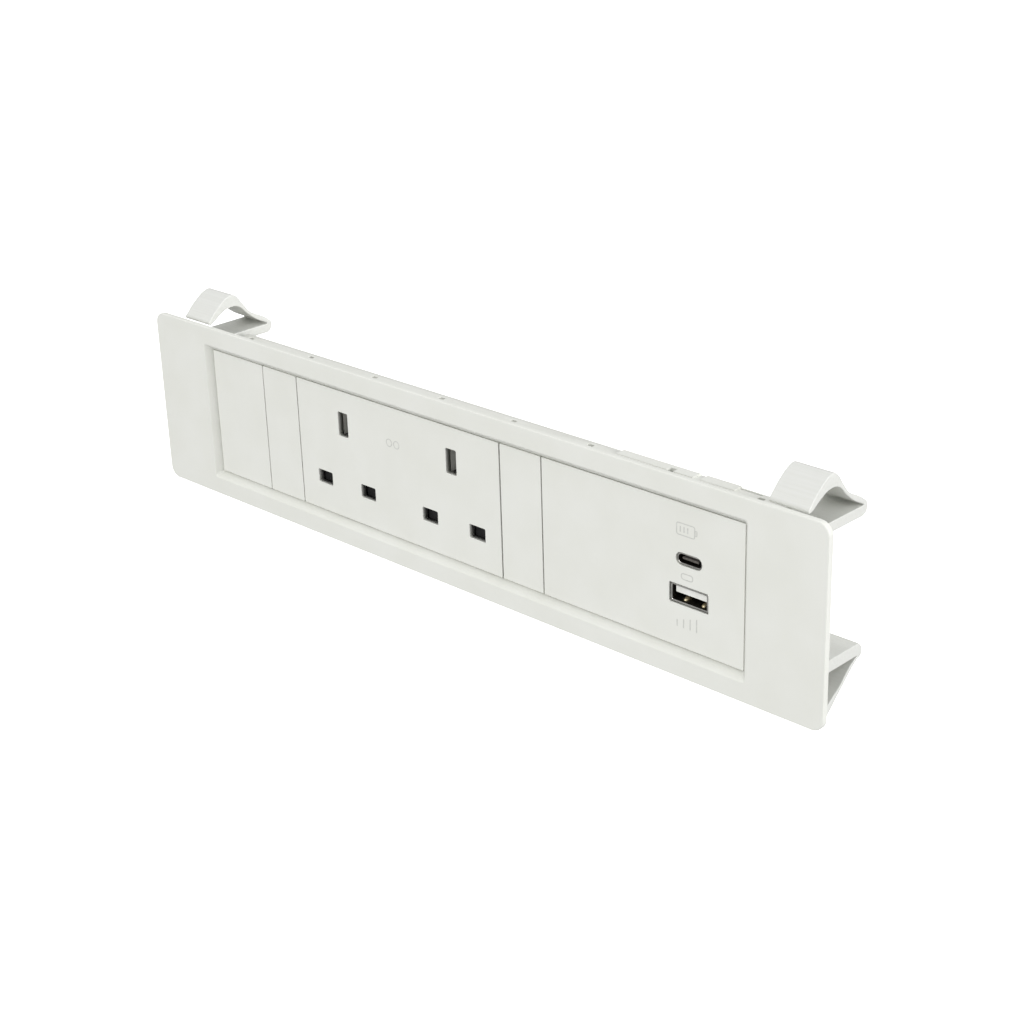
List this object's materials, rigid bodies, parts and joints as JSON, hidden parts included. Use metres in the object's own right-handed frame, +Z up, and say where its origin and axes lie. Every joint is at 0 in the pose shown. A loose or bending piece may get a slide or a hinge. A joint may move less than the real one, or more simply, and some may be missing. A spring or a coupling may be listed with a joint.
{
  "type": "desk power strip",
  "caption": "Long panel-mounted power unit with a framed row of blank modules, a twin 13 A socket, a USB charger module and sprung end clips.",
  "frame": {"origin": "middle of the unit, on the back plane of the fascia, which bears on the panel", "axes": "+X along the unit to the right seen from the front, +Y from the front to the back, +Z up"},
  "size_m": [0.304, 0.0402, 0.0801],
  "materials": {
    "white_abs": "fine satin moulded",
    "white_clip": "satin extruded",
    "urea_moulding": "moulded",
    "black_nylon": "moulded",
    "white_lcp": "moulded",
    "brass": "pressed",
    "gold_plate": "gold plated",
    "nickel_steel": "nickel plated",
    "zinc_steel": "zinc plated",
    "spring_steel": "drawn wire",
    "board_laminate": "solder mask",
    "transformer_tape": "taped winding",
    "capacitor_sleeve": "shrink sleeve",
    "copper_winding": "enamelled copper wire",
    "terminal_green": "moulded",
    "brown_pvc": "extruded insulation",
    "blue_pvc": "extruded insulation",
    "green_pvc": "extruded insulation, green and yellow"
  },
  "bodies": {
    "unit": {"fascia": "white_abs", "blank_module_wide": "white_abs", "blank_module_left": "white_abs", "blank_module_right": "white_abs", "socket_faceplate": "white_abs", "usb_faceplate": "white_abs", "rear_housing": "white_abs", "back_cover": "white_abs", "clip_frame_left": "white_clip", "clip_frame_right": "white_clip", "socket_body": "urea_moulding", "contact_cover": "urea_moulding", "inlet_body": "black_nylon", "usb_c_tongue": "black_nylon", "controller_chip": "black_nylon", "usb_a_tongue": "white_lcp", "live_bar": "brass", "neutral_bar": "brass", "earth_bar": "brass", "inlet_pin_live": "brass", "inlet_pin_neutral": "brass", "inlet_pin_earth": "brass", "usb_a_contact_1": "gold_plate", "usb_a_contact_2": "gold_plate", "usb_a_contact_3": "gold_plate", "usb_a_contact_4": "gold_plate", "usb_a_shell": "nickel_steel", "usb_c_shell": "nickel_steel", "socket_screw_lower": "zinc_steel", "socket_screw_upper": "zinc_steel", "board_screw_1": "zinc_steel", "board_screw_2": "zinc_steel", "cover_screw_1": "zinc_steel", "cover_screw_2": "zinc_steel", "cover_screw_3": "zinc_steel", "cover_screw_4": "zinc_steel", "clip_screw_left_lower": "zinc_steel", "clip_screw_left_upper": "zinc_steel", "clip_screw_right_lower": "zinc_steel", "clip_screw_right_upper": "zinc_steel", "shutter_spring_left": "spring_steel", "shutter_spring_right": "spring_steel", "usb_board": "board_laminate", "transformer": "transformer_tape", "input_capacitor": "capacitor_sleeve", "output_capacitor": "capacitor_sleeve", "choke": "copper_winding", "terminal_block": "terminal_green", "wire_live": "brown_pvc", "feed_live": "brown_pvc", "wire_neutral": "blue_pvc", "feed_neutral": "blue_pvc", "wire_earth": "green_pvc"},
    "hump_arm_left": {"hump_arm_left": "white_clip"},
    "hump_arm_right": {"hump_arm_right": "white_clip"},
    "catch_arm_left": {"catch_arm_left": "white_clip"},
    "catch_arm_right": {"catch_arm_right": "white_clip"},
    "shutter_left": {"shutter_left": "black_nylon"},
    "shutter_right": {"shutter_right": "black_nylon"}
  },
  "joints": [
    {"name": "hump_arm_left_flex", "type": "hinge", "parent": "unit", "child": "hump_arm_left", "pos_m": [-0.134, 0.0303, 0.0255], "axis": [1, 0, 0], "range_deg": [0, 11], "stiffness_Nm_per_rad": 2.5},
    {"name": "catch_arm_left_flex", "type": "hinge", "parent": "unit", "child": "catch_arm_left", "pos_m": [-0.134, 0.0305, -0.0241], "axis": [-1, 0, 0], "range_deg": [0, 12], "stiffness_Nm_per_rad": 2},
    {"name": "hump_arm_right_flex", "type": "hinge", "parent": "unit", "child": "hump_arm_right", "pos_m": [0.134, 0.0303, 0.0255], "axis": [1, 0, 0], "range_deg": [0, 11], "stiffness_Nm_per_rad": 2.5},
    {"name": "catch_arm_right_flex", "type": "hinge", "parent": "unit", "child": "catch_arm_right", "pos_m": [0.134, 0.0305, -0.0241], "axis": [-1, 0, 0], "range_deg": [0, 12], "stiffness_Nm_per_rad": 2},
    {"name": "shutter_left_slide", "type": "slide", "parent": "unit", "child": "shutter_left", "axis": [0, 0, -1], "range_m": [0, 0.0062], "stiffness_N_per_m": 120, "springref_m": -0.006, "deforming": ["shutter_spring_left"]},
    {"name": "shutter_right_slide", "type": "slide", "parent": "unit", "child": "shutter_right", "axis": [0, 0, -1], "range_m": [0, 0.0062], "stiffness_N_per_m": 120, "springref_m": -0.006, "deforming": ["shutter_spring_right"]}
  ]
}
